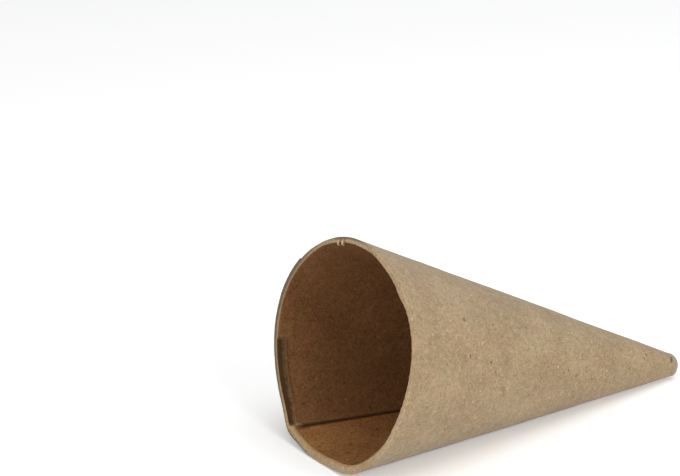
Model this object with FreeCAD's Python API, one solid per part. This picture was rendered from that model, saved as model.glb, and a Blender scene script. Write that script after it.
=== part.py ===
import FreeCAD, Part
import math
import os

# A cone rolled from one sheet of kraft board, lying on the flattened underside of its wall.
# It is drawn with its axis along +X: the mouth is at station 0 and the straight sides aim at a
# sharp point further along, which the blunt nose stops short of. It is laid down afterwards.
# Angles are degrees round the axis, from +Y through +Z, and grow as the sheet winds outward.

# Whole cone, millimetres
mouth_diameter = 70.0
sharp_height = 141.4        # from the mouth to the point that the straight sides aim at

# Board
ply = 0.46                  # thickness of the sheet
plies = 4                   # turns of the sheet through the thinner part of the wall
inside_lap_angle = 302.0    # where the sheet starts, on the inside
outside_lap_angle = 34.0    # where the sheet ends, on the outside
nose_ply = 0.10             # what is left of each lap's step where it reaches the nose

# Mouth, pressed out of round
oval_rise = 1.2
oval_angle = 16.0
three_lobe_rise = 0.5
three_lobe_angle = 22.0
five_lobe_rise = 0.25
five_lobe_angle = 10.0
corner_rise = 1.4           # the corner that the wall is bent into beside the inside lap
corner_angle = 302.0
corner_spread = 8.0
rest_flat_depth = 1.6       # how far the underside is pressed flat at the mouth

# Rim
rim_ease = 0.35             # worn edge, on the outside and the inside
setback_length = 2.4        # the first turn starts this far inside the rim, beside its lap
setback_end_angle = 351.0
lip_rise = 0.65             # the rim's inner edge, pushed inward below the lap
lip_length = 1.7
lip_peak = 0.7              # how far inside the rim the lip stands highest
lip_root = 0.05             # the lip's edges start this deep in the wall
lip_start_angle = 205.0     # it grows from nothing here
lip_full_angle = 225.0      # to its full height here, and keeps it as far as the lap
burr_angles = (67.3, 71.2)  # two short burrs that the cutter left at the top of the rim
burr_radius = 0.36
burr_reach = 0.8

# Nose
nose_setback = 15.0         # the nose stops this far short of the sharp point
nose_corner_radius = 1.3
nose_corner_start = 0.065   # how far outside the wall the corner's arc starts, so that it cuts
nose_crown = 0.35           # how far the end of the nose domes out
hollow_tip_radius = 2.6     # radius of the hollow where it ends inside the nose
dimple_radius = 0.45        # the pinched centre of the nose
dimple_depth = 0.9
nick_angle = 112.0          # the point of the sheet stops short here and leaves a slit
nick_length = 1.5
nick_width = 0.5
nick_depth = 0.5

# Drawing
panels = 120                # narrow panels that each turn of the wall is drawn in
overrun = 1.0               # how far cutting shapes run past what they cut

mouth_radius = mouth_diameter / 2
half_angle = math.atan2(mouth_radius, sharp_height)
lap_share = ((outside_lap_angle - inside_lap_angle) % 360.0) / 360.0
middle_wall = ply * (plies + lap_share)
wall_across = middle_wall / math.cos(half_angle)
lean = math.atan2(mouth_radius - rest_flat_depth, sharp_height)
nose_end = sharp_height - nose_setback


def wave(angle, lobes, rise, peak):
    """Height of an even ripple with so many lobes round the mouth."""
    return rise * math.cos(math.radians(lobes * (angle - peak)))


def bend(angle, rise, peak, spread):
    """Height of one rounded corner, which dies away on both sides of its peak."""
    away = (angle - peak + 180.0) % 360.0 - 180.0
    return rise * math.exp(-(away / spread) ** 2)


def mouth_outline(angle):
    """Radius of the mouth, out of round as it was pressed."""
    radius = mouth_radius
    radius += wave(angle, 2, oval_rise, oval_angle)
    radius += wave(angle, 3, three_lobe_rise, three_lobe_angle)
    radius += wave(angle, 5, five_lobe_rise, five_lobe_angle)
    radius += bend(angle, corner_rise, corner_angle, corner_spread)
    return radius


def outside_radius(angle, turn, station, step):
    """Outer face of the wall. It climbs by one step in a turn, from lap to lap."""
    return mouth_outline(angle) * (1 - station / sharp_height) + step * (turn - 0.5)


def hollow_height():
    """From the mouth to the point that the inner face aims at."""
    return sharp_height * (1 - wall_across / mouth_radius)


def inside_radius(angle, turn, station, step):
    """Inner face of the wall, one wall inside the outer face."""
    return (mouth_outline(angle) - wall_across) * (1 - station / hollow_height()) + step * (turn - 0.5)


def hollow_end():
    """Station where the hollow has narrowed to its small round end."""
    return hollow_height() * (1 - hollow_tip_radius / (mouth_radius - wall_across))


def underside_radius(angle, station, lift):
    """Radius of a plane that lies this high above the ground, under the cone."""
    down = -math.sin(math.radians(angle))
    height = (mouth_radius - rest_flat_depth) * (1 - station / sharp_height) - lift / math.cos(lean)
    return height / down if down > 0 else float("inf")


def spot(station, angle, radius):
    """A point from its station, angle and radius."""
    turn = math.radians(angle)
    return FreeCAD.Vector(station, radius * math.cos(turn), radius * math.sin(turn))


def curve(points):
    """A smooth curve that reaches its points at even steps, so that two such curves match."""
    last = len(points) - 1
    spline = Part.BSplineCurve()
    spline.interpolate(Points=points, Parameters=[step / last for step in range(last + 1)])
    return spline


def turn_ring(station, start, radius_at):
    """One turn of the sheet at a station: one curve in narrow panels, and the lap's step."""
    points = []
    for count in range(panels + 1):
        turn = count / panels
        angle = start + 360.0 * turn
        points.append(spot(station, angle, radius_at(angle, turn)))
    whole = curve(points)
    edges = [whole.toShape(count / panels, (count + 1) / panels) for count in range(panels)]
    return edges + [Part.makeLine(points[-1], points[0])]


def strip_ring(station, start, end, low_at, high_at):
    """Section of a strip that follows the wall from one angle to another."""
    count = max(4, round(panels * (end - start) / 360.0))
    angles = [start + (end - start) * step / count for step in range(count + 1)]
    low = [spot(station, angle, low_at(angle)) for angle in angles]
    high = [spot(station, angle, high_at(angle)) for angle in angles]
    return [
        curve(low).toShape(),
        Part.makeLine(low[-1], high[-1]),
        curve(high[::-1]).toShape(),
        Part.makeLine(high[0], low[0]),
    ]


def skin(rings):
    """Closed solid whose straight sides join ring to ring, with a flat face at each end."""
    faces = []
    for near, far in zip(rings, rings[1:]):
        faces += [Part.makeRuledSurface(a, b) for a, b in zip(near, far)]
    faces += [Part.Face(Part.Wire(ring)) for ring in (rings[0], rings[-1])]
    shell = Part.makeShell(faces)
    shell.sewShape()
    solid = Part.makeSolid(shell)
    if solid.Volume < 0:
        solid.reverse()
    return solid


def lay_down(shape):
    """Tips the cone over the sharp point until its underside lies on the ground."""
    laid = shape.copy()
    laid.rotate(FreeCAD.Vector(sharp_height, 0, 0), FreeCAD.Vector(0, 1, 0), math.degrees(lean))
    return laid


def below(height):
    """Everything under a level, as one block."""
    side = 4 * (sharp_height + mouth_diameter)
    corner = FreeCAD.Vector(-side / 2, -side / 2, height - side)
    return Part.makeBox(side, side, side, corner)


def outer_body():
    """The cone as if it were solid, with its worn outer edge and its outside lap."""
    end = nose_end + nose_crown + overrun

    def ring(station, step, ease):
        return turn_ring(
            station,
            outside_lap_angle,
            lambda angle, turn: outside_radius(angle, turn, station, step) - ease,
        )

    body = skin([ring(0.0, ply, rim_ease), ring(rim_ease, ply, 0.0), ring(end, nose_ply, 0.0)])
    return lay_down(body.cut(nose_trim())).cut(below(0.0))


def nose_trim():
    """What the rounded nose takes off the sharp cone: a turned ring with a dished face."""
    corner_station = nose_end - nose_corner_radius
    side_radius = (sharp_height - corner_station) * math.tan(half_angle)
    corner_height = side_radius - (nose_corner_radius - nose_corner_start) / math.cos(half_angle)
    outer_limit = side_radius + 2 * nose_corner_radius

    def on_corner(degrees):
        turn = math.radians(degrees)
        return FreeCAD.Vector(
            corner_station + nose_corner_radius * math.cos(turn),
            0,
            corner_height + nose_corner_radius * math.sin(turn),
        )

    start, middle, end = on_corner(90.0), on_corner(50.0), on_corner(10.0)
    tip = FreeCAD.Vector(nose_end + nose_crown, 0, 0)
    dome_middle = FreeCAD.Vector((end.x + 3 * tip.x) / 4, 0, end.z / 2)
    far = nose_end + nose_crown + 3 * overrun
    outline = [
        Part.Arc(start, middle, end).toShape(),
        Part.Arc(end, dome_middle, tip).toShape(),
        Part.makeLine(tip, FreeCAD.Vector(far, 0, 0)),
        Part.makeLine(FreeCAD.Vector(far, 0, 0), FreeCAD.Vector(far, 0, outer_limit)),
        Part.makeLine(FreeCAD.Vector(far, 0, outer_limit), FreeCAD.Vector(start.x, 0, outer_limit)),
        Part.makeLine(FreeCAD.Vector(start.x, 0, outer_limit), start),
    ]
    face = Part.Face(Part.Wire(outline))
    return face.revolve(FreeCAD.Vector(0, 0, 0), FreeCAD.Vector(1, 0, 0), 360)


def hollow():
    """The inside of the cone, with the inside lap and the rim's worn inner edge."""

    def ring(station, step, ease):
        return turn_ring(
            station,
            inside_lap_angle,
            lambda angle, turn: inside_radius(angle, turn, station, step) + ease,
        )

    space = skin([
        ring(-overrun, ply, rim_ease + overrun),
        ring(rim_ease, ply, 0.0),
        ring(hollow_end(), nose_ply, 0.0),
    ])
    return lay_down(space).cut(below(middle_wall))


def setback():
    """Space in front of the first turn, whose edge lies inside the rim beside the lap."""

    def ring(station):
        def face(angle):
            return inside_radius(angle, (angle - inside_lap_angle) / 360.0, station, ply)

        return strip_ring(
            station,
            inside_lap_angle,
            setback_end_angle,
            lambda angle: face(angle) - overrun,
            lambda angle: face(angle) + ply,
        )

    return lay_down(skin([ring(-overrun), ring(setback_length)]))


def inner_lip():
    """The inner edge of the rim, pushed inward in a low rounded strip below the lap."""

    def ring(station, height):
        def face(angle):
            turn = (angle - inside_lap_angle + 360.0) / 360.0
            round_face = inside_radius(angle, turn, station, ply)
            return min(round_face, underside_radius(angle, station, middle_wall))

        def stand(angle):
            share = (angle - lip_start_angle) / (lip_full_angle - lip_start_angle)
            return height * min(share, 1.0) - lip_root

        return strip_ring(
            station,
            lip_start_angle,
            inside_lap_angle,
            lambda angle: face(angle) - stand(angle),
            lambda angle: face(angle) + middle_wall / 2,
        )

    return lay_down(skin([
        ring(0.0, lip_rise / 2),
        ring(lip_peak, lip_rise),
        ring(lip_length, 0.0),
    ]))


def burr(angle):
    """A short round-ended burr that hangs into the mouth from the rim."""
    turn = (angle - inside_lap_angle + 360.0) / 360.0 % 1.0
    inner = inside_radius(angle, turn, 0.0, ply)
    station = burr_radius + rim_ease / 2
    root = spot(station, angle, inner + middle_wall / 2)
    tip = spot(station, angle, inner - burr_reach + burr_radius)
    stem = Part.makeCylinder(burr_radius, (tip - root).Length, root, tip - root)
    return lay_down(stem.fuse(Part.makeSphere(burr_radius, tip)))


def dimple():
    """The pinched centre of the nose."""
    start = FreeCAD.Vector(nose_end + nose_crown - dimple_depth, 0, 0)
    length = dimple_depth + overrun
    flare = dimple_radius * length / dimple_depth
    return lay_down(Part.makeCone(0, flare, length, start, FreeCAD.Vector(1, 0, 0)))


def nick():
    """The short slit across the nose where the sheet's point ends."""
    station = nose_end - nose_corner_radius
    radius = (sharp_height - station) * math.tan(half_angle)
    block = Part.makeBox(nick_width, nick_length, 2 * nick_depth)
    block.translate(FreeCAD.Vector(station, -nick_length / 2, radius - nick_depth))
    block.rotate(FreeCAD.Vector(0, 0, 0), FreeCAD.Vector(1, 0, 0), nick_angle - 90.0)
    return lay_down(block)


def cone_cup():
    """The whole cup: one rolled wall, one solid."""
    cup = outer_body().cut(hollow())
    cup = cup.cut(setback())
    cup = cup.fuse([inner_lip()] + [burr(angle) for angle in burr_angles])
    cup = cup.cut(dimple()).cut(nick())
    box = cup.optimalBoundingBox(True, False)
    cup.translate(FreeCAD.Vector(-box.Center.x, -box.Center.y, 0))
    return cup


os.makedirs("parts", exist_ok=True)
cup = cone_cup()
print("solids", len(cup.Solids), "valid", cup.isValid(), "volume", round(cup.Volume, 1))
print("size", cup.optimalBoundingBox(True, False))
cup.exportStep("parts/cone_cup.step")
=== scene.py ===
import math

import bpy
import numpy as np
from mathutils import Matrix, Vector, noise


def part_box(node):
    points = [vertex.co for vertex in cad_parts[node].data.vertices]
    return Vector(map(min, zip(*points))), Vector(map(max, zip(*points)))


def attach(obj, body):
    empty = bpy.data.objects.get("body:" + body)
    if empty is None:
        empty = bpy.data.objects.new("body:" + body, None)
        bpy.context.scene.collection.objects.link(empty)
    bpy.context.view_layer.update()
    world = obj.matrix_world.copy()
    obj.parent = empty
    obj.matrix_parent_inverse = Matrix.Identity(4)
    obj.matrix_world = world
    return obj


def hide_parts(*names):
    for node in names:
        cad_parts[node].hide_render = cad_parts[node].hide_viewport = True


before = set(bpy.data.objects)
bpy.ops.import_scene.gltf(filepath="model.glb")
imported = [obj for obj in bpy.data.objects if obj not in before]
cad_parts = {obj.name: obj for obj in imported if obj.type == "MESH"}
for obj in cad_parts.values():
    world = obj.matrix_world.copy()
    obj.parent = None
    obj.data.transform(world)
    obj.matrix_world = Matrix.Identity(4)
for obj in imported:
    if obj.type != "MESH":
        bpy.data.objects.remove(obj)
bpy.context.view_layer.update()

# The cone, in millimetres and degrees, as in its construction. It is drawn in its own frame:
# station 0 is the mouth, the straight sides aim at a sharp point on the axis, and angles go
# round the axis from +Y through +Z, the way the sheet winds outward.
MOUTH_RADIUS = 35.0
SHARP_HEIGHT = 141.4
PLY = 0.46
PLIES = 4
INSIDE_LAP = 302.0
OUTSIDE_LAP = 34.0
NOSE_PLY = 0.10
OUTLINE_WAVES = ((2, 1.2, 16.0), (3, 0.5, 22.0), (5, 0.25, 10.0))  # lobes, rise, peak
CORNER_RISE, CORNER_ANGLE, CORNER_SPREAD = 1.4, 302.0, 8.0
REST_FLAT_DEPTH = 1.6
RIM_EASE = 0.35
SETBACK_LENGTH, SETBACK_END = 2.4, 351.0
LIP_RISE, LIP_LENGTH, LIP_START, LIP_FULL = 0.65, 1.7, 205.0, 225.0
BURR_ANGLES = (67.3, 71.2)
BURR_REACH = 0.8
NOSE_SETBACK = 15.0
NOSE_CORNER = 1.3
CORNER_REACH = 0.95  # how far the nose's rounded corner reaches in, in parts of its radius
NOSE_CROWN = 0.35
OVERRUN = 1.0  # how far past the nose the sheet is thinned before the nose is cut
HOLLOW_TIP = 2.6
DIMPLE_RADIUS, DIMPLE_DEPTH = 0.45, 0.9

# Where this mesh departs from the construction: the nose slit's place and size, a faint crease
# round the nose, softer sides of the flat underside, a slimmer nose end and an uneven rim
NICK_ANGLE, NICK_LENGTH, NICK_WIDTH, NICK_DEPTH = 140.0, 2.2, 0.9, 0.4
CREASE_SETBACK, CREASE_DEPTH = 1.9, 0.10
FLAT_EASE = (0.8, 2.3)  # how softly the flat underside passes into the round on its two sides
SLIMMING = ((60.0, 90.0, 0.15), (106.0, 123.0, 0.10))  # from one station to another, by so much
RIM_UNEVENNESS = (  # middle angle, spread and height of the inner edge's bumps and hollows
    (53.0, 12.0, -0.35),
    (100.0, 6.0, -0.30),
    (118.0, 6.0, 0.15),
    (132.0, 7.0, 0.70),
    (157.0, 11.0, -0.25),
    (184.0, 10.0, 0.15),
    (200.0, 8.0, 0.30),
)

HALF_ANGLE = math.atan2(MOUTH_RADIUS, SHARP_HEIGHT)
LAP_SHARE = ((OUTSIDE_LAP - INSIDE_LAP) % 360.0) / 360.0
MIDDLE_WALL = PLY * (PLIES + LAP_SHARE)
WALL_ACROSS = MIDDLE_WALL / math.cos(HALF_ANGLE)
LEAN = math.atan2(MOUTH_RADIUS - REST_FLAT_DEPTH, SHARP_HEIGHT)
NOSE_END = SHARP_HEIGHT - NOSE_SETBACK
HOLLOW_HEIGHT = SHARP_HEIGHT * (1 - WALL_ACROSS / MOUTH_RADIUS)
HOLLOW_END = HOLLOW_HEIGHT * (1 - HOLLOW_TIP / (MOUTH_RADIUS - WALL_ACROSS))

# Marks on the outside: station, angle, radius of the mark
DARK_SPECKS = (
    (23.6, 141.4, 0.80),
    (24.4, 162.4, 0.60),
    (33.8, 165.8, 0.65),
    (13.8, 214.0, 0.70),
    (2.5, 217.0, 0.55),
    (108.4, 151.8, 0.60),
    (109.8, 141.6, 0.65),
    (52.0, 138.0, 0.50),
    (70.5, 172.0, 0.45),
)
SMUDGES = ((41.2, 184.4, 1.5), (42.6, 188.5, 1.0))

# Darker spots on the inside, below the lap: station, angle, radius of the spot
INSIDE_SPOTS = (
    (24.0, 286.0, 1.0),
    (21.0, 281.0, 0.9),
    (12.0, 276.0, 0.8),
    (8.0, 266.0, 0.9),
    (16.0, 270.0, 0.6),
)

# How finely the mesh is drawn
COLUMNS = 440
OUTSIDE_ROWS = 78
RIM_ROWS = 24
INSIDE_ROWS = 74

# The finishes, in the order in which the mesh counts them
OUTSIDE, INSIDE, RIM, LAP_EDGE = range(4)

MM = 0.001


def smooth(low, high, value):
    """0 below low, 1 above high, and an even ramp between."""
    share = np.clip((value - low) / (high - low), 0.0, 1.0)
    return share * share * (3 - 2 * share)


def hump(value, peak, spread):
    """A rounded ridge, 1 at its peak."""
    return np.exp(-(((value - peak) / spread) ** 2))


def away(angle, peak):
    """Degrees from a peak, the short way round."""
    return (angle - peak + 180.0) % 360.0 - 180.0


def mouth_outline(angle):
    """Radius of the mouth, out of round as it was pressed."""
    radius = MOUTH_RADIUS + CORNER_RISE * hump(away(angle, CORNER_ANGLE), 0.0, CORNER_SPREAD)
    for lobes, rise, peak in OUTLINE_WAVES:
        radius = radius + rise * np.cos(np.radians(lobes * (angle - peak)))
    return radius


def lower(angle, first, second):
    """The smaller of two radii, with a rounded passage from one to the other."""
    ease = FLAT_EASE[0] + (FLAT_EASE[1] - FLAT_EASE[0]) * smooth(272.0, 262.0, angle)
    close = np.clip(1 - np.abs(first - second) / ease, 0.0, 1.0)
    return np.minimum(first, second) - ease / 4 * close * close


def slimming(station):
    """How much slimmer than a straight cone the wall gets toward the nose."""
    return sum(depth * smooth(start, end, station) for start, end, depth in SLIMMING)


def underside(angle, station, lift):
    """Radius of a plane that lies this high above the ground, under the cone."""
    down = np.maximum(-np.sin(np.radians(angle)), 1e-6)
    height = (MOUTH_RADIUS - REST_FLAT_DEPTH) * (1 - station / SHARP_HEIGHT) - lift / math.cos(LEAN)
    return height / down


def outside_radius(angle, turn, station):
    """Outer face of the wall, which climbs by one ply in a turn."""
    end = NOSE_END + NOSE_CROWN + OVERRUN
    step = PLY + (NOSE_PLY - PLY) * (station - RIM_EASE) / (end - RIM_EASE)
    radius = mouth_outline(angle) * (1 - station / SHARP_HEIGHT) + step * (turn - 0.5)
    return lower(angle, radius - slimming(station), underside(angle, station, 0.0))


def inside_radius(angle, turn, station):
    """Inner face of the wall, which climbs by one ply in a turn."""
    step = PLY + (NOSE_PLY - PLY) * (station - RIM_EASE) / (HOLLOW_END - RIM_EASE)
    radius = (mouth_outline(angle) - WALL_ACROSS) * (1 - station / HOLLOW_HEIGHT)
    radius = radius + step * (turn - 0.5)
    return lower(angle, radius - slimming(station), underside(angle, station, MIDDLE_WALL))


def columns():
    """Angle of each column, and where its outer and inner face stand in the sheet's turns.
    Each lap has two columns at one angle, with the step between them."""
    angles = set(np.round(np.arange(0, 360, 360 / COLUMNS), 3))
    for middle, steps in ((INSIDE_LAP, (0.2, 0.45, 0.8)), (OUTSIDE_LAP, (0.2, 0.5))):
        angles |= {round(middle + side * step, 3) for step in steps for side in (-1, 1)}
    for middle in BURR_ANGLES + (SETBACK_END,):
        angles |= {round(middle + step, 3) for step in (-0.9, -0.6, -0.3, 0.0, 0.3, 0.6, 0.9)}
    angles = sorted(a % 360.0 for a in angles if a not in (INSIDE_LAP, OUTSIDE_LAP))
    rows = [(a, ((a - OUTSIDE_LAP) / 360) % 1, ((a - INSIDE_LAP) / 360) % 1) for a in angles]
    rows += [(OUTSIDE_LAP, 0.0, LAP_SHARE), (OUTSIDE_LAP, 1.0, LAP_SHARE)]
    rows += [(INSIDE_LAP, 1 - LAP_SHARE, 0.0), (INSIDE_LAP, 1 - LAP_SHARE, 1.0)]
    rows.sort(key=lambda row: (row[0], -row[1] if row[0] == OUTSIDE_LAP else -row[2]))
    return np.array(rows).T


def sharp_point():
    """Where the straight sides aim, in the row frame, in millimetres. The frame's origin is
    the middle of the box round the cone, so it follows from the mouth's own extent."""
    angle = np.arange(0.0, 360.0, 0.25)
    turn = ((angle - OUTSIDE_LAP) / 360) % 1
    mouth = laid_down(ring_points(angle, RIM_EASE, outside_radius(angle, turn, RIM_EASE)))
    low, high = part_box("cone_cup")
    half_length = (high[0] - low[0]) / 2 / MM
    middle = (mouth[:, 1].min() + mouth[:, 1].max()) / 2
    return np.array([-half_length - mouth[:, 0].min(), -middle, 0.0])


def laid_down(points):
    """The cone tipped over its sharp point until its underside lies on the ground."""
    x, z = points[:, 0] - SHARP_HEIGHT, points[:, 2]
    laid_x = x * math.cos(LEAN) + z * math.sin(LEAN)
    laid_z = z * math.cos(LEAN) - x * math.sin(LEAN)
    return np.stack([laid_x, points[:, 1], laid_z], axis=-1)


def ripple(points, size, seed):
    """Soft noise from -1 to 1 at each point, with lumps of this size in millimetres."""
    shift = Vector((seed * 7.3, seed * 3.1, seed * 5.7))
    return np.array([noise.noise(Vector(p) / size + shift) for p in points])


def ring_points(angle, station, radius):
    """Points in the cone's own frame."""
    turn = np.radians(angle)
    station = np.broadcast_to(station, angle.shape)
    return np.stack([station, radius * np.cos(turn), radius * np.sin(turn)], axis=-1)


def outside_rows(angle, turn):
    """Rings of the outside, from the middle of the nose to the mouth's worn outer edge."""
    rows = []
    corner_station = NOSE_END - NOSE_CORNER
    side = outside_radius(angle, turn, corner_station)
    flat = side - NOSE_CORNER * CORNER_REACH
    for share in (0.0, 0.04, 0.08, 0.13, 0.2, 0.3, 0.42, 0.55, 0.68, 0.8, 0.9, 0.97):
        radius = flat * share
        sunk = DIMPLE_DEPTH * np.clip(1 - radius / DIMPLE_RADIUS, 0, 1)
        rows.append((NOSE_END + NOSE_CROWN * (1 - share**2) - sunk, radius))
    for degrees in (10, 22, 34, 46, 56, 64, 70, 76, 82, 88):
        bend = math.radians(degrees)
        station = corner_station + NOSE_CORNER * math.cos(bend)
        rows.append((station, side - NOSE_CORNER * (CORNER_REACH - math.sin(bend))))
    setbacks = (0.25, 0.6, 1.0, 1.35, 1.6, 1.75, 1.9, 2.05, 2.2, 2.45, 2.8, 3.4, 4.2)
    near = corner_station - np.array(setbacks)
    first_far = near[-1] - 1.2
    spread = 1 - (1 - np.linspace(0, 1, OUTSIDE_ROWS - len(rows) - len(near))) ** 1.25
    far = first_far - (first_far - RIM_EASE) * spread
    for station in np.concatenate([near, far]):
        crease = CREASE_DEPTH * hump(station, corner_station - CREASE_SETBACK, 0.3)
        slit = NICK_DEPTH * nose_slit(angle, station)
        rows.append((station, outside_radius(angle, turn, station) - crease - slit))
    return rows


def nose_slit(angle, station):
    """1 in the short slit at the nose, where the sheet's point stops short."""
    crease = NOSE_END - NOSE_CORNER - CREASE_SETBACK
    half_turn = math.degrees(NICK_LENGTH / 2 / (SHARP_HEIGHT - crease) / math.tan(HALF_ANGLE))
    off_middle = away(angle, NICK_ANGLE)
    across = smooth(half_turn + 3, half_turn - 3, np.abs(off_middle))
    slanted = station + 0.45 * off_middle / half_turn
    return across * hump(slanted, crease, NICK_WIDTH / 2)


def rim_relief(angle, depth):
    """How far the rim's cut face stands out, across its plies: depth is in plies from inside."""
    between_plies = hump(depth - np.round(depth), 0.0, 0.16)
    relief = -0.09 * between_plies
    for burr in BURR_ANGLES:
        relief = relief + 0.30 * hump(away(angle, burr), 0.0, 0.55)
    gap = sum(BURR_ANGLES) / 2
    return relief - 0.35 * hump(away(angle, gap), 0.0, 0.5)


def setback_strip(angle, turn, station):
    """1 on the strip beside the lap, where the first turn stops short of the rim."""
    past_lap = (angle > INSIDE_LAP) | ((angle == INSIDE_LAP) & (turn == 0.0))
    ending = smooth(SETBACK_END + 0.4, SETBACK_END - 1.6, angle)
    length = SETBACK_LENGTH * (0.82 + 0.18 * smooth(INSIDE_LAP, INSIDE_LAP + 30.0, angle))
    return past_lap * ending * smooth(length + 0.12, length - 0.12, station)


def marks(angle, turn, station, depth):
    """Places on the rim and just inside it that differ in tone, each from 0 to 1; the lap tick and the
    first turn's edge are painted highlights, and the lap shadow, the first turn's foot and the far side
    are painted shade.
    """
    past_lap = (angle > INSIDE_LAP) | ((angle == INSIDE_LAP) & (turn == 0.0))
    in_strip = past_lap * smooth(SETBACK_END + 0.4, SETBACK_END - 1.6, angle)
    first, second = BURR_ANGLES
    inner_plies = smooth(3.6, 2.6, depth) * smooth(1.2, 0.3, station)
    stroke = hump(away(angle, first), 0.0, 0.62) + hump(away(angle, second), 0.0, 0.62)
    between = hump(away(angle, (first + second) / 2), 0.0, 0.75)
    beside = hump(away(angle, second + 2.0), 0.0, 0.9)
    before_lap = 1 - past_lap
    # painted highlight along the first turn's edge, where it faces the mouth and catches light
    edge = hump(station, SETBACK_LENGTH - 0.45, 0.45)
    # painted shade just past the first turn's step
    foot = hump(station, SETBACK_LENGTH + 0.45, 0.34) * smooth(308.0, 325.0, angle)
    lip = smooth(LIP_START, LIP_FULL, angle) * smooth(LIP_LENGTH + 0.2, 0.9, station)
    shadow = hump(away(angle, INSIDE_LAP - 1.3), 0.0, 1.3) * hump(station, 3.4, 1.8)
    outer_plies = smooth(1.9, 3.2, depth)
    most_plies = 0.5 + 0.5 * smooth(0.9, 2.6, depth)
    # painted highlight where the first turn's cut end catches light at the rim
    tick_side = hump(away(angle, INSIDE_LAP + 0.7), 0.0, 0.7)
    # painted shade: the rim's far side, turned away from the light, made darker and greyer
    upper_left = smooth(-0.15, 0.35, np.cos(np.radians(angle - 8.0)))
    far_left = smooth(0.45, 0.85, np.cos(np.radians(angle - 2.0)))
    return {
        "burr_stroke": stroke * inner_plies,
        "burr_gap": (between + beside) * inner_plies,
        "lap_tick_highlight": tick_side * smooth(3.6, 2.6, station),
        "lap_shadow": shadow * before_lap,
        "rim_lip": lip * before_lap,
        "first_turn_edge_highlight": in_strip * edge,
        "first_turn_foot_shade": in_strip * foot,
        "far_side_shade": np.maximum(upper_left * outer_plies, far_left * most_plies),
    }


def inside_detail(angle, turn, station):
    """How far the inner face stands off its plain line: set-back strip, lip, burrs and curl."""
    in_strip = (angle > INSIDE_LAP) | ((angle == INSIDE_LAP) & (turn == 0.0))
    change = PLY * setback_strip(angle, turn, station)
    in_lip = smooth(LIP_START, LIP_FULL, angle) * (1 - in_strip)
    lip_height = LIP_RISE * (1 - 0.5 * smooth(258.0, 266.0, angle))
    lip_shape = smooth(-0.6, 0.5, station) * smooth(LIP_LENGTH, 0.9, station)
    change = change - lip_height * in_lip * lip_shape
    for middle, spread, height in RIM_UNEVENNESS:
        change = change - height * hump(away(angle, middle), 0.0, spread) * smooth(4.5, 0.8, station)
    for burr in BURR_ANGLES:
        change = change - BURR_REACH * hump(away(angle, burr), 0.0, 0.6) * smooth(1.5, 0.5, station)
    curl = hump(away(angle, INSIDE_LAP + 0.3), 0.0, 0.8) * smooth(4.8, 3.4, station)
    change = change - 0.42 * curl
    foot = hump(away(angle, INSIDE_LAP - 0.45), 0.0, 0.4) * (1 - in_strip)
    return change + 0.16 * foot * smooth(3.0, 4.5, station)


def rim_rows(angle, turn_out, turn_in):
    """Rings across the rim, from its outer to its inner edge, with both edges eased."""
    outer = outside_radius(angle, turn_out, 0.0)
    inner = inside_radius(angle, turn_in, 0.0) + inside_detail(angle, turn_in, 0.0)
    rows = []
    for share in np.linspace(0, 1, RIM_ROWS):
        radius = outer - RIM_EASE * 0.5 + (inner - outer + RIM_EASE) * share
        near_edge = np.minimum(outer - radius, radius - inner)
        ease = RIM_EASE * (1 - smooth(0.0, 1.0, near_edge / RIM_EASE)) ** 2
        plies = (radius - inner) / (PLY / math.cos(HALF_ANGLE))
        rows.append((ease - rim_relief(angle, plies), radius))
    return rows


def inside_rows(angle, turn):
    """Rings of the hollow, from the mouth's worn inner edge to the point."""
    rows = []
    for share in np.linspace(0, 1, INSIDE_ROWS - 14):
        station = 6.0 + (HOLLOW_END - 6.0) * share
        rows.append((station, inside_radius(angle, turn, station)))
    near = [RIM_EASE, 0.6, 0.9, 1.3, 1.7, 2.1, 2.27, 2.4, 2.53, 2.8, 3.3, 3.9, 4.5, 5.2]
    rows = [(s, inside_radius(angle, turn, s)) for s in near] + rows
    return [(s, r + inside_detail(angle, turn, s)) for s, r in rows]


def worn(points):
    """The points with the soft lumps of the pressed board and the frayed edge of the rim."""
    lumps = 0.10 * ripple(points, 14.0, 1) + 0.05 * ripple(points, 4.5, 2)
    fray = 0.10 * ripple(points, 0.9, 3) + 0.05 * ripple(points, 0.45, 4)
    near_rim = np.exp(-np.abs(points[:, 0]) / 0.8)
    radius = np.hypot(points[:, 1], points[:, 2])
    outward = np.stack([0 * radius, points[:, 1], points[:, 2]], axis=-1)
    outward = outward / np.maximum(radius, 1e-6)[:, None]
    off_axis = smooth(1.0, 8.0, radius)
    moved = points + outward * (lumps * off_axis + 0.6 * fray * near_rim)[:, None]
    moved[:, 0] += fray * near_rim
    return moved


def skin(count, around, ends, lap_columns):
    """Faces between the rings, and for each the number of its finish."""
    outside_end, rim_end = ends
    lap_out, lap_in = lap_columns
    faces, kinds = [], []
    for row in range(count - 1):
        for column in range(around):
            beside = (column + 1) % around
            a, b = row * around + column, row * around + beside
            faces.append((a, b, b + around, a + around))
            if row < outside_end:
                kind = RIM if column == lap_out else OUTSIDE
            elif row < rim_end - 1:
                kind = RIM
            else:
                kind = LAP_EDGE if column == lap_in else INSIDE
            kinds.append(kind)
    last = (count - 1) * around
    faces.append(tuple(range(last, last + around)))
    kinds.append(INSIDE)
    return faces, kinds


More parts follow.
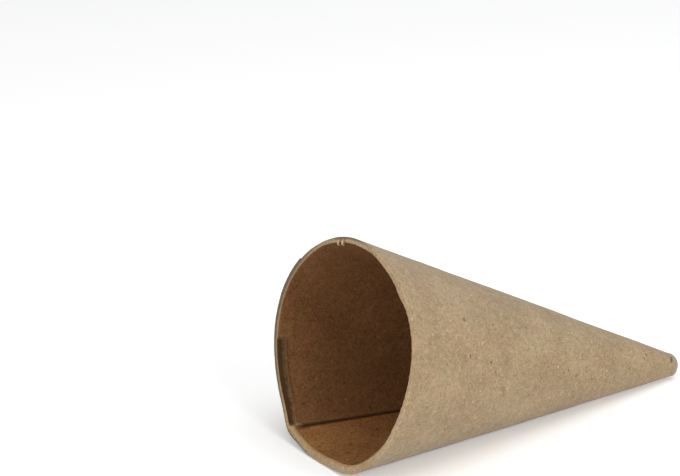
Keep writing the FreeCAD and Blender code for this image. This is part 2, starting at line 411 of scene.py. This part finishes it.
def add_marks(mesh, angle, turn, rows, ends):
    """Where each point stands in the wall, and the marks it bears, for the finishes to read."""
    outside_end, rim_end = ends
    wall = PLY / math.cos(HALF_ANGLE)
    inner_edge = inside_radius(angle, turn, 0.0) + inside_detail(angle, turn, 0.0)
    cap_start = NOSE_END - NOSE_CORNER - CREASE_SETBACK
    rings = []
    for row, (station, radius) in enumerate(rows):
        station = station + 0 * angle
        on_outside = row < outside_end
        on_rim = outside_end <= row < rim_end
        depth = (radius - inner_edge) / wall if on_rim else 0 * angle
        inner_marks = marks(angle, turn, station, depth)
        inner_marks["setback_strip"] = setback_strip(angle, turn, station)
        ring = {name: values * (not on_outside) for name, values in inner_marks.items()}
        ring["nose_slit"] = nose_slit(angle, station) * on_outside
        ring["nose_cap"] = smooth(cap_start - 0.1, cap_start + 0.5, station) * on_outside
        ring["ply_depth"] = depth
        ring["station"] = station
        ring["lap_side"] = away(angle, INSIDE_LAP)
        rings.append(ring)
    for name in rings[0]:
        add_attribute(mesh, name, np.concatenate([ring[name] for ring in rings]))


def rolled_cone():
    """The whole wall as one closed skin, with the laps' steps and the rim's cut face."""
    angle, turn_out, turn_in = columns()
    outside = outside_rows(angle, turn_out)
    rim = rim_rows(angle, turn_out, turn_in)
    rows = outside + rim + inside_rows(angle, turn_in)
    ends = (len(outside), len(outside) + len(rim))
    points = np.concatenate([ring_points(angle, station, radius) for station, radius in rows])
    laid = laid_down(worn(points)) + sharp_point()
    laid[:, 2] = np.maximum(laid[:, 2], 0.0)

    lap_out = np.flatnonzero((angle == OUTSIDE_LAP) & (turn_out == 1.0))[0]
    lap_in = np.flatnonzero((angle == INSIDE_LAP) & (turn_in == 1.0))[0]
    faces, kinds = skin(len(rows), len(angle), ends, (lap_out, lap_in))
    mesh = bpy.data.meshes.new("rolled_cone")
    mesh.from_pydata([tuple(p) for p in laid * MM], [], faces)
    mesh.polygons.foreach_set("material_index", kinds)
    mesh.polygons.foreach_set("use_smooth", [True] * len(faces))
    add_marks(mesh, angle, turn_in, rows, ends)
    cone = bpy.data.objects.new("rolled_cone", mesh)
    bpy.context.scene.collection.objects.link(cone)
    return cone


def add_attribute(mesh, name, values):
    """A number at each corner point of the mesh, which the finishes read."""
    layer = mesh.attributes.new(name, "FLOAT", "POINT")
    layer.data.foreach_set("value", np.asarray(values, dtype=np.float32))


class Term:
    """One socket of a finish, so that shader maths can be written as plain sums."""

    def __init__(self, finish, socket):
        self.finish = finish
        self.socket = socket

    def math(self, operation, first, second=0.0):
        return self.finish.node("ShaderNodeMath", {"operation": operation}, {0: first, 1: second})

    def __add__(self, other):
        return self.math("ADD", self, other)

    def __sub__(self, other):
        return self.math("SUBTRACT", self, other)

    def __rsub__(self, other):
        return self.math("SUBTRACT", other, self)

    def __mul__(self, other):
        return self.math("MULTIPLY", self, other)

    def __abs__(self):
        return self.math("ABSOLUTE", self)

    __radd__ = __add__
    __rmul__ = __mul__


class Finish:
    """A material under construction."""

    def __init__(self, name):
        self.material = bpy.data.materials.new(name)
        self.material.use_nodes = True
        self.tree = self.material.node_tree
        self.tree.nodes.clear()

    def node(self, kind, settings, values, output=0):
        made = self.tree.nodes.new(kind)
        for name, value in settings.items():
            setattr(made, name, value)
        for key, value in values.items():
            if isinstance(value, Term):
                self.tree.links.new(value.socket, made.inputs[key])
            else:
                made.inputs[key].default_value = value
        return Term(self, made.outputs[output]) if made.outputs else None

    def attribute(self, name):
        return self.node("ShaderNodeAttribute", {"attribute_name": name}, {}, "Fac")

    def place(self):
        return self.node("ShaderNodeTexCoord", {}, {}, "Object")

    def moved_place(self, shift):
        """The place on the cone, moved so that each pattern takes a part of its own."""
        return self.node("ShaderNodeMapping", {}, {"Vector": self.place(), "Location": shift})

    def noise(self, size, detail, roughness, seed):
        """Soft noise around 0.5, with lumps of this size in millimetres."""
        where = self.moved_place((seed, seed * 0.7, seed * 1.3))
        values = {"Vector": where, "Scale": 1 / (size * MM), "Detail": detail, "Roughness": roughness}
        return self.node("ShaderNodeTexNoise", {}, values)

    def cells(self, size, seed, output):
        """Random cells of this size: distance to the nearest centre, or its random colour."""
        where = self.moved_place((seed, seed * 1.9, seed * 0.4))
        values = {"Vector": where, "Scale": 1 / (size * MM)}
        return self.node("ShaderNodeTexVoronoi", {}, values, output)

    def ramp(self, value, low, high, start=0.0, end=1.0):
        values = {0: value, 1: low, 2: high, 3: start, 4: end}
        return self.node("ShaderNodeMapRange", {"interpolation_type": "SMOOTHSTEP"}, values)

    def mix(self, share, first, second):
        """Blend of two colours."""
        values = {0: share, 6: first, 7: second}
        return self.node("ShaderNodeMix", {"data_type": "RGBA"}, values, 2)

    def tint(self, share, colour, factor):
        """The colour times a factor, for the given share."""
        settings = {"data_type": "RGBA", "blend_type": "MULTIPLY", "clamp_result": False}
        return self.node("ShaderNodeMix", settings, {0: share, 6: colour, 7: factor}, 2)

    def shade(self, colour, roughness, height, sheen):
        bump = self.node("ShaderNodeBump", {}, {"Strength": 0.55, "Distance": 0.0002, "Height": height})
        body = self.node(
            "ShaderNodeBsdfPrincipled",
            {},
            {
                "Base Color": colour,
                "Roughness": roughness,
                "Normal": bump,
                "Specular IOR Level": 0.22,
                "Sheen Weight": sheen,
                "Sheen Roughness": 0.6,
                "Sheen Tint": (0.95, 0.96, 1.0, 1.0),
            },
        )
        self.node("ShaderNodeOutputMaterial", {}, {"Surface": body})
        return self.material


def rgb(red, green, blue):
    """A colour in linear light, from its usual 0 to 255 numbers."""
    def linear(value):
        share = value / 255
        return share / 12.92 if share <= 0.04045 else ((share + 0.055) / 1.055) ** 2.4
    return (linear(red), linear(green), linear(blue), 1.0)


def pulp(finish, plain, dark, light, contrast=1.0):
    """Colour and height of the pressed pulp: clouds, mottle, fibres, specks and flecks."""
    clouds = finish.noise(12.0, 2.0, 0.5, 1.0)
    mottle = finish.noise(1.7, 3.0, 0.65, 2.0)
    grain = finish.noise(0.6, 2.0, 0.65, 3.0)
    tone = (clouds - 0.5) * 0.7 + (mottle - 0.5) * 1.0 + (grain - 0.5) * 2.1
    colour = finish.mix(finish.ramp(tone * contrast, -0.6, 0.6), dark, light)
    colour = finish.mix(0.22, colour, plain)
    rosy = (min(1.0, plain[0] * 1.07), plain[1] * 0.97, plain[2] * 0.93, 1.0)
    mossy = (plain[0] * 0.92, plain[1] * 1.01, plain[2] * 0.86, 1.0)
    hue = finish.mix(finish.ramp(finish.noise(6.5, 2.0, 0.55, 11.0), 0.36, 0.64), mossy, rosy)
    colour = finish.mix(0.34, colour, hue)

    strand = finish.noise(1.5, 1.0, 0.5, 4.0)
    patch = finish.ramp(finish.noise(2.2, 1.0, 0.5, 5.0), 0.54, 0.62)
    pale_fibre = finish.ramp(abs(strand - 0.5), 0.028, 0.006) * patch
    patch_dark = finish.ramp(finish.noise(2.4, 1.0, 0.5, 6.0), 0.58, 0.66)
    dark_fibre = finish.ramp(abs(finish.noise(1.8, 1.0, 0.5, 7.0) - 0.5), 0.022, 0.005) * patch_dark
    colour = finish.mix(pale_fibre * 0.4, colour, light)
    colour = finish.mix(dark_fibre * 0.5, colour, dark)

    pale = tuple(min(1.0, c * 1.18) for c in light[:3]) + (1.0,)
    deep = tuple(c * 0.62 for c in dark[:3]) + (1.0,)
    deepest = tuple(c * 0.30 for c in dark[:3]) + (1.0,)
    colour = finish.mix(dots(finish, 2.3, 8.0, 0.24, 0.72) * 0.5, colour, pale)
    colour = finish.mix(dots(finish, 2.6, 12.0, 0.22, 0.76) * 0.55, colour, deep)
    speck = dots(finish, 8.0, 9.0, 0.075, 0.76)
    colour = finish.mix(speck * 0.65, colour, deepest)
    height = mottle * 0.4 + grain * 0.5 + pale_fibre * 0.35 - speck * 0.4
    return colour, height


def dots(finish, spacing, seed, size, share):
    """Scattered round dots. Size is a part of their spacing, and share is how many are left out."""
    chosen = finish.node("ShaderNodeSeparateColor", {}, {0: finish.cells(spacing, seed, "Color")})
    near = finish.cells(spacing, seed, "Distance")
    return finish.ramp(near, size, size * 0.45) * finish.ramp(chosen, share, share + 0.06)


def spot_mark(finish, station, angle, size, inside=False):
    """A single mark of this radius in millimetres, on the outside or the inside of the wall."""
    angles = np.array([angle])
    if inside:
        radius = inside_radius(angles, ((angles - INSIDE_LAP) / 360) % 1, station)
    else:
        radius = outside_radius(angles, ((angles - OUTSIDE_LAP) / 360) % 1, station)
    point = laid_down(ring_points(angles, station, radius)) + sharp_point()
    place = tuple(float(value) * MM for value in point[0])
    ends = {0: finish.place(), 1: place}
    far = finish.node("ShaderNodeVectorMath", {"operation": "DISTANCE"}, ends, "Value")
    return finish.ramp(far, size * MM, size * MM * 0.5)


def kraft_outside():
    """The outside of the wall: light brown, matte, with a fine mottle, specks and one smudge."""
    finish = Finish("kraft_outside")
    colour, height = pulp(finish, rgb(160, 136, 102), rgb(118, 93, 62), rgb(197, 173, 138))
    for station, angle, size in DARK_SPECKS:
        colour = finish.mix(spot_mark(finish, station, angle, size) * 0.7, colour, rgb(88, 66, 42))
    for station, angle, size in SMUDGES:
        patchy = finish.ramp(finish.noise(0.9, 2.0, 0.5, 14.0), 0.35, 0.6)
        smudge = spot_mark(finish, station, angle, size) * patchy
        colour = finish.mix(smudge * 0.5, colour, rgb(112, 84, 60))
    colour = finish.mix(finish.attribute("nose_cap") * 0.45, colour, rgb(160, 146, 128))
    # painted shade in the nose slit, where the sheet's point stops short
    colour = finish.mix(finish.attribute("nose_slit") * 0.9, colour, rgb(58, 42, 28))
    return finish.shade(colour, 0.9, height, 0.2)


def kraft_inside():
    """The inside of the wall, browner and darker than the outside, partly as painted shade of the hollow,
    with a dark line of painted shade at the foot of the lap.
    """
    finish = Finish("kraft_inside")
    # partly painted shade: the inside's own browner tone, set darker and more saturated still to stand in
    # for the hollow's shade
    colour, height = pulp(finish, rgb(119, 78, 45), rgb(84, 51, 26), rgb(156, 113, 72))
    side = finish.attribute("lap_side")
    # painted light: the inner wall below the lap faces up toward the light, so it is made lighter here
    below_lap_painted_light = finish.ramp(side, -0.4, -0.6) * finish.ramp(side, -75.0, -40.0)
    colour = finish.tint(below_lap_painted_light, colour, (1.72, 1.72, 1.56, 1.0))
    for station, angle, size in INSIDE_SPOTS:
        colour = finish.mix(spot_mark(finish, station, angle, size, True) * 0.55, colour, rgb(84, 54, 24))
    broken = finish.ramp(finish.noise(1.6, 2.0, 0.6, 15.0), 0.30, 0.62)
    # painted shade: a dark line along the foot of the lap's step, where its cut edge is in shadow
    line = finish.ramp(abs(side + 0.5), 1.5, 0.5) * finish.ramp(finish.attribute("station"), 2.4, 4.5)
    colour = finish.mix(line * 0.75, colour, rgb(62, 34, 16))
    colour = finish.mix(finish.attribute("setback_strip") * 0.85, colour, rgb(62, 41, 20))
    # painted highlight on the first turn's lit edge
    colour = finish.mix(finish.attribute("first_turn_edge_highlight") * broken * 0.6, colour, rgb(128, 108, 74))
    # painted shade beside the first turn's step
    colour = finish.mix(finish.attribute("first_turn_foot_shade") * 0.6, colour, rgb(60, 38, 20))
    colour = finish.mix(finish.attribute("lap_shadow") * 0.7, colour, rgb(58, 34, 16))
    # painted highlight on the first turn's cut end by the rim
    colour = finish.mix(finish.attribute("lap_tick_highlight") * 0.6, colour, rgb(170, 146, 104))
    colour = finish.mix(finish.attribute("rim_lip") * (broken * 0.35 + 0.6), colour, rgb(192, 160, 118))
    colour = finish.mix(finish.attribute("burr_stroke") * 0.7, colour, rgb(214, 184, 150))
    return finish.shade(colour, 0.92, height, 0.0)


def kraft_rim():
    """The cut face of the rim, paler, with a fine dark line between the plies."""
    finish = Finish("kraft_rim")
    colour, height = pulp(finish, rgb(196, 166, 128), rgb(150, 120, 86), rgb(228, 202, 168))
    ply = finish.attribute("ply_depth")
    nearest = finish.node("ShaderNodeMath", {"operation": "ROUND"}, {0: ply})
    line = finish.ramp(abs(ply - nearest), 0.20, 0.05)
    colour = finish.mix(line * 0.35, colour, rgb(130, 98, 68))
    # painted shade on the rim's far side
    colour = finish.mix(finish.attribute("far_side_shade") * 0.85, colour, rgb(96, 84, 70))
    colour = finish.mix(finish.attribute("burr_gap") * 0.7, colour, rgb(96, 62, 38))
    colour = finish.mix(finish.attribute("burr_stroke") * 0.6, colour, rgb(228, 200, 168))
    # painted highlight where the lap's cut end meets the rim
    colour = finish.mix(finish.attribute("lap_tick_highlight") * 0.5, colour, rgb(206, 184, 140))
    return finish.shade(colour, 0.9, height, 0.2)


def kraft_lap_edge():
    """The first turn's cut edge inside the cone, with painted shade on it deeper in from the mouth."""
    finish = Finish("kraft_lap_edge")
    colour, height = pulp(finish, rgb(150, 118, 80), rgb(110, 78, 50), rgb(180, 148, 108))
    # painted shade: the cut edge darkens deeper in, away from the light through the mouth
    deep = finish.ramp(finish.attribute("station"), 3.0, 4.6)
    colour = finish.mix(deep * 0.85, colour, rgb(66, 38, 20))
    return finish.shade(colour, 0.92, height, 0.0)


def studio_floor():
    """A pale floor that keeps the cone's soft shadow, and looks white to the camera."""
    finish = Finish("studio_floor")
    seen = finish.node("ShaderNodeLightPath", {}, {}, "Is Camera Ray")
    colour = finish.mix(seen, (0.86, 0.86, 0.86, 1.0), (1.0, 1.0, 1.0, 1.0))
    body = finish.node(
        "ShaderNodeBsdfPrincipled",
        {},
        {
            "Base Color": colour,
            "Roughness": 1.0,
            "Specular IOR Level": 0.0,
            "Emission Color": finish.mix(seen, (0.0, 0.0, 0.0, 1.0), (0.25, 0.25, 0.25, 1.0)),
            "Emission Strength": 1.0,
        },
    )
    finish.node("ShaderNodeOutputMaterial", {}, {"Surface": body})
    half, level = 3.0, -0.0001
    mesh = bpy.data.meshes.new("studio_floor")
    corners = [(x * half, y * half, level) for x, y in ((-1, -1), (1, -1), (1, 1), (-1, 1))]
    mesh.from_pydata(corners, [], [(0, 1, 2, 3)])
    mesh.materials.append(finish.material)
    floor = bpy.data.objects.new("studio_floor", mesh)
    bpy.context.scene.collection.objects.link(floor)


def panel_light(name, place, target, width, height, power, colour):
    """A soft rectangular light that faces its target."""
    data = bpy.data.lights.new(name, "AREA")
    data.shape = "RECTANGLE"
    data.size, data.size_y = width, height
    data.energy = power
    data.color = colour
    lamp = bpy.data.objects.new(name, data)
    lamp.location = place
    lamp.rotation_mode = "QUATERNION"
    lamp.rotation_quaternion = (Vector(target) - Vector(place)).to_track_quat("-Z", "Y")
    bpy.context.scene.collection.objects.link(lamp)


def studio_lights():
    """Soft light from above and from the camera's side, with a white surround."""
    middle = (0.0, 0.0, 0.03)
    panel_light("overhead_panel", (0.10, -0.15, 1.3), middle, 1.3, 1.3, 9.5, (0.97, 0.99, 1.0))
    panel_light("front_panel", (0.20, -1.25, 0.50), middle, 1.0, 0.7, 9.5, (1.0, 0.98, 0.95))
    panel_light("mouth_panel", (-1.2, -0.45, 0.50), middle, 0.9, 0.7, 5.0, (1.0, 0.98, 0.95))
    world = bpy.data.worlds.new("white_surround")
    world.use_nodes = True
    tree = world.node_tree
    tree.nodes.clear()
    background = tree.nodes.new("ShaderNodeBackground")
    background.inputs["Color"].default_value = (1.0, 1.0, 1.0, 1.0)
    path = tree.nodes.new("ShaderNodeLightPath")
    lift = tree.nodes.new("ShaderNodeMapRange")
    lift.inputs["To Min"].default_value = 0.25
    lift.inputs["To Max"].default_value = 1.0
    tree.links.new(path.outputs["Is Camera Ray"], lift.inputs["Value"])
    tree.links.new(lift.outputs[0], background.inputs["Strength"])
    out = tree.nodes.new("ShaderNodeOutputWorld")
    tree.links.new(background.outputs[0], out.inputs["Surface"])
    bpy.context.scene.world = world


def photo_camera():
    """The photo's own viewpoint, as fitted to the cone's outline: far away and a little above."""
    heading = math.radians(32.700)
    pitch = math.radians(18.660)
    across, back, above = 116.19, 886.80, 342.30  # from the sharp point, in millimetres
    sensor_width = 36.0
    picture_width, focal_length = 680, 3000  # in pixels
    forward = Vector((math.sin(heading), math.cos(heading), 0.0))
    right = Vector((math.cos(heading), -math.sin(heading), 0.0))
    place = Vector(sharp_point()) - across * right - back * forward + Vector((0.0, 0.0, above))
    data = bpy.data.cameras.new("photo_camera")
    data.sensor_width = sensor_width
    data.lens = sensor_width * focal_length / picture_width
    data.clip_start, data.clip_end = 0.01, 20.0
    camera = bpy.data.objects.new("photo_camera", data)
    camera.location = place * MM
    look = forward * math.cos(pitch) - Vector((0.0, 0.0, math.sin(pitch)))
    camera.rotation_mode = "QUATERNION"
    camera.rotation_quaternion = look.to_track_quat("-Z", "Y")
    bpy.context.scene.collection.objects.link(camera)
    bpy.context.scene.camera = camera


cone = rolled_cone()
for finish in (kraft_outside, kraft_inside, kraft_rim, kraft_lap_edge):
    cone.data.materials.append(finish())
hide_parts("cone_cup")
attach(cone, "root")
studio_floor()
studio_lights()
photo_camera()
bpy.context.scene.view_settings.view_transform = "Standard"
